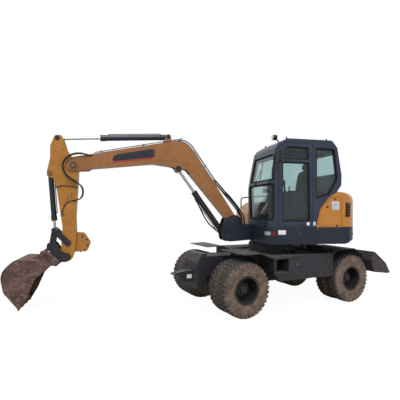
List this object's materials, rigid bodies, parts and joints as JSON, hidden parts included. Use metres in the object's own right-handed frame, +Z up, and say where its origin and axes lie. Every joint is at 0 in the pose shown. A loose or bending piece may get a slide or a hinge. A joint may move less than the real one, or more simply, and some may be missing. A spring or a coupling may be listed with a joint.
{
  "type": "wheeled excavator",
  "caption": "Wheeled excavator with twin tyres, a bent boom, a bucket on a quick coupler and a rear dozer blade.",
  "frame": {"origin": "on the ground under the middle of the whole machine's box", "axes": "+X towards the steered axle and the boom, +Y towards the cab's side, +Z up"},
  "size_m": [6.7179, 2.8734, 3.0169],
  "materials": {
    "tyre": "matte",
    "rim": "matte",
    "black_steel": "satin",
    "navy": "satin",
    "orange": "satin",
    "cab_paint": "satin",
    "glass": "clear",
    "rod": "polished",
    "worn_steel": "rough",
    "grey_steel": "satin",
    "seat": "matte",
    "plastic": "matte",
    "hose": "matte"
  },
  "bodies": {
    "chassis": {"chassis_frame": "black_steel", "side_box_left": "black_steel", "side_box_right": "black_steel", "front_axle": "black_steel", "rear_axle": "black_steel", "drive_shaft": "black_steel"},
    "locker_left": {"locker_door_left": "black_steel"},
    "locker_right": {"locker_door_right": "black_steel"},
    "knuckle_l": {"knuckle_left": "black_steel"},
    "knuckle_r": {"knuckle_right": "black_steel"},
    "tie": {"tie_rod": "rod"},
    "dozer": {"blade": "black_steel"},
    "blade_cylinder": {"blade_barrel": "black_steel"},
    "blade_piston": {"blade_rod": "rod"},
    "upper": {"deck_frame": "navy", "counterweight": "navy", "engine_cover": "orange", "engine_block": "black_steel", "tank_cover": "orange", "cab_shell": "cab_paint", "cab_glass": "glass", "seat": "seat", "controls": "plastic", "lamps": "plastic", "rails_and_mirrors": "grey_steel", "hoses_house_boom": "hose"},
    "hood": {"engine_hood": "orange"},
    "cover_left": {"side_cover": "orange"},
    "door": {"cab_door": "cab_paint", "door_glass": "glass"},
    "boom_body": {"boom": "orange", "boom_pipes": "grey_steel", "hoses_boom_arm": "hose"},
    "boom_cylinder": {"boom_barrel": "black_steel"},
    "boom_piston": {"boom_rod": "rod"},
    "arm_body": {"arm": "orange"},
    "arm_cylinder": {"arm_barrel": "navy"},
    "arm_piston": {"arm_rod": "rod"},
    "bucket_cylinder": {"bucket_barrel": "black_steel"},
    "bucket_piston": {"bucket_rod": "rod"},
    "rocker_body": {"rocker": "black_steel"},
    "link_body": {"link": "black_steel"},
    "tool": {"coupler": "black_steel", "bucket": "worn_steel"},
    "wheel_front_left": {"tyres_front_left": "tyre", "rims_front_left": "rim"},
    "wheel_front_right": {"tyres_front_right": "tyre", "rims_front_right": "rim"},
    "wheel_rear_left": {"tyres_rear_left": "tyre", "rims_rear_left": "rim"},
    "wheel_rear_right": {"tyres_rear_right": "tyre", "rims_rear_right": "rim"}
  },
  "joints": [
    {"name": "steer_left", "type": "hinge", "parent": "chassis", "child": "knuckle_l", "pos_m": [0.015, 0.825, 0.43], "axis": [0, 0, 1], "range_deg": [-28, 28]},
    {"name": "steer_right", "type": "hinge", "parent": "chassis", "child": "knuckle_r", "pos_m": [0.015, -0.295, 0.43], "axis": [0, 0, 1], "range_deg": [-28.5, 28.5]},
    {"name": "tie_rod_slide", "type": "slide", "parent": "chassis", "child": "tie", "axis": [0, 1, 0], "range_m": [-0.0959, 0.0959]},
    {"name": "wheel_front_left", "type": "hinge", "parent": "knuckle_l", "child": "wheel_front_left", "pos_m": [0.015, 0.9715, 0.43], "axis": [0, 1, 0], "continuous": true},
    {"name": "wheel_front_right", "type": "hinge", "parent": "knuckle_r", "child": "wheel_front_right", "pos_m": [0.015, -0.4415, 0.43], "axis": [0, 1, 0], "continuous": true},
    {"name": "wheel_rear_left", "type": "hinge", "parent": "chassis", "child": "wheel_rear_left", "pos_m": [-2.275, 0.9715, 0.43], "axis": [0, 1, 0], "continuous": true},
    {"name": "wheel_rear_right", "type": "hinge", "parent": "chassis", "child": "wheel_rear_right", "pos_m": [-2.275, -0.4415, 0.43], "axis": [0, 1, 0], "continuous": true},
    {"name": "locker_left_open", "type": "hinge", "parent": "chassis", "child": "locker_left", "pos_m": [-1.753, 1.184, 0.7], "axis": [0, 0, -1], "range_deg": [-100, 0]},
    {"name": "locker_right_open", "type": "hinge", "parent": "chassis", "child": "locker_right", "pos_m": [-1.753, -0.654, 0.7], "axis": [0, 0, 1], "range_deg": [-100, 0]},
    {"name": "blade_lift", "type": "hinge", "parent": "chassis", "child": "dozer", "pos_m": [-2.46, 0.265, 0.6], "axis": [0, 1, 0], "range_deg": [-34, 3]},
    {"name": "blade_barrel_tilt", "type": "hinge", "parent": "chassis", "child": "blade_cylinder", "pos_m": [-2.605, 0.265, 0.85], "axis": [0, 1, 0], "range_deg": [-21.24, 2.33]},
    {"name": "house_swing", "type": "hinge", "parent": "chassis", "child": "upper", "pos_m": [-1.194, 0.265, 1.033], "axis": [0, 0, 1], "continuous": true},
    {"name": "hood_open", "type": "hinge", "parent": "upper", "child": "hood", "pos_m": [-2.04698, 0.50091, 1.997], "axis": [-0.2666, -0.9638, 0], "range_deg": [-60, 0]},
    {"name": "side_cover_open", "type": "hinge", "parent": "upper", "child": "cover_left", "pos_m": [-1.77803, 1.39455, 1.64], "axis": [0, 0, -1], "range_deg": [-80, 0]},
    {"name": "door_open", "type": "hinge", "parent": "upper", "child": "door", "pos_m": [-1.26545, 1.2559, 2.09], "axis": [0, 0, 1], "range_deg": [0, 150]},
    {"name": "boom_lift", "type": "hinge", "parent": "upper", "child": "boom_body", "pos_m": [-0.48816, -0.03397, 1.445], "axis": [-0.2666, -0.9638, 0], "range_deg": [-52, 28], "deforming": ["hoses_house_boom"]},
    {"name": "boom_barrel_tilt", "type": "hinge", "parent": "upper", "child": "boom_cylinder", "pos_m": [-0.3725, -0.06596, 1.125], "axis": [-0.2666, -0.9638, 0], "range_deg": [-48.51, 26.35]},
    {"name": "arm_crowd", "type": "hinge", "parent": "boom_body", "child": "arm_body", "pos_m": [2.28282, -0.80035, 2.387], "axis": [0.2666, 0.9638, 0], "range_deg": [-72, 36], "deforming": ["hoses_boom_arm"]},
    {"name": "arm_barrel_tilt", "type": "hinge", "parent": "boom_body", "child": "arm_cylinder", "pos_m": [0.71083, -0.36558, 2.967], "axis": [0.2666, 0.9638, 0], "range_deg": [-3.61, 2.06]},
    {"name": "bucket_curl", "type": "hinge", "parent": "arm_body", "child": "tool", "pos_m": [2.37149, -0.82487, 0.825], "axis": [0.2666, 0.9638, 0], "range_deg": [-15, 100]},
    {"name": "rocker_turn", "type": "hinge", "parent": "arm_body", "child": "rocker_body", "pos_m": [2.35028, -0.81901, 1.06], "axis": [0.2666, 0.9638, 0], "range_deg": [-15.05, 97.5]},
    {"name": "link_turn", "type": "hinge", "parent": "rocker_body", "child": "link_body", "pos_m": [2.56232, -0.87765, 1.275], "axis": [0.2666, 0.9638, 0], "range_deg": [-83.5, 12.95]},
    {"name": "bucket_barrel_tilt", "type": "hinge", "parent": "arm_body", "child": "bucket_cylinder", "pos_m": [2.6481, -0.90138, 2.238], "axis": [0.2666, 0.9638, 0], "range_deg": [-4, 1.02]},
    {"name": "blade_rod_slide", "type": "slide", "parent": "blade_cylinder", "child": "blade_piston", "axis": [-0.6189, 0, -0.7854], "range_m": [-0.0157, 0.1472]},
    {"name": "boom_rod_slide", "type": "slide", "parent": "boom_cylinder", "child": "boom_piston", "axis": [0.5744, -0.1588, 0.803], "range_m": [-0.2675, 0.1454]},
    {"name": "arm_rod_slide", "type": "slide", "parent": "arm_cylinder", "child": "arm_piston", "axis": [0.9619, -0.266, -0.0625], "range_m": [-0.5716, 0.2873]},
    {"name": "bucket_rod_slide", "type": "slide", "parent": "bucket_cylinder", "child": "bucket_piston", "axis": [-0.0887, 0.0245, -0.9958], "range_m": [-0.0716, 0.4603]}
  ],
  "couplings": [
    {"joint": "boom_barrel_tilt", "follows": "boom_lift", "ratio": 0.9233},
    {"joint": "boom_rod_slide", "follows": "boom_lift", "m_per_rad": 0.2914},
    {"joint": "arm_barrel_tilt", "follows": "arm_crowd", "ratio": 0.0432},
    {"joint": "arm_rod_slide", "follows": "arm_crowd", "m_per_rad": 0.4525},
    {"joint": "rocker_turn", "follows": "bucket_curl", "ratio": 0.97},
    {"joint": "link_turn", "follows": "bucket_curl", "ratio": -0.83},
    {"joint": "bucket_barrel_tilt", "follows": "bucket_curl", "ratio": -0.035},
    {"joint": "bucket_rod_slide", "follows": "bucket_curl", "m_per_rad": 0.262},
    {"joint": "blade_barrel_tilt", "follows": "blade_lift", "ratio": 0.61},
    {"joint": "blade_rod_slide", "follows": "blade_lift", "m_per_rad": -0.243},
    {"joint": "steer_right", "follows": "steer_left", "ratio": 1},
    {"joint": "tie_rod_slide", "follows": "steer_left", "m_per_rad": 0.19}
  ]
}
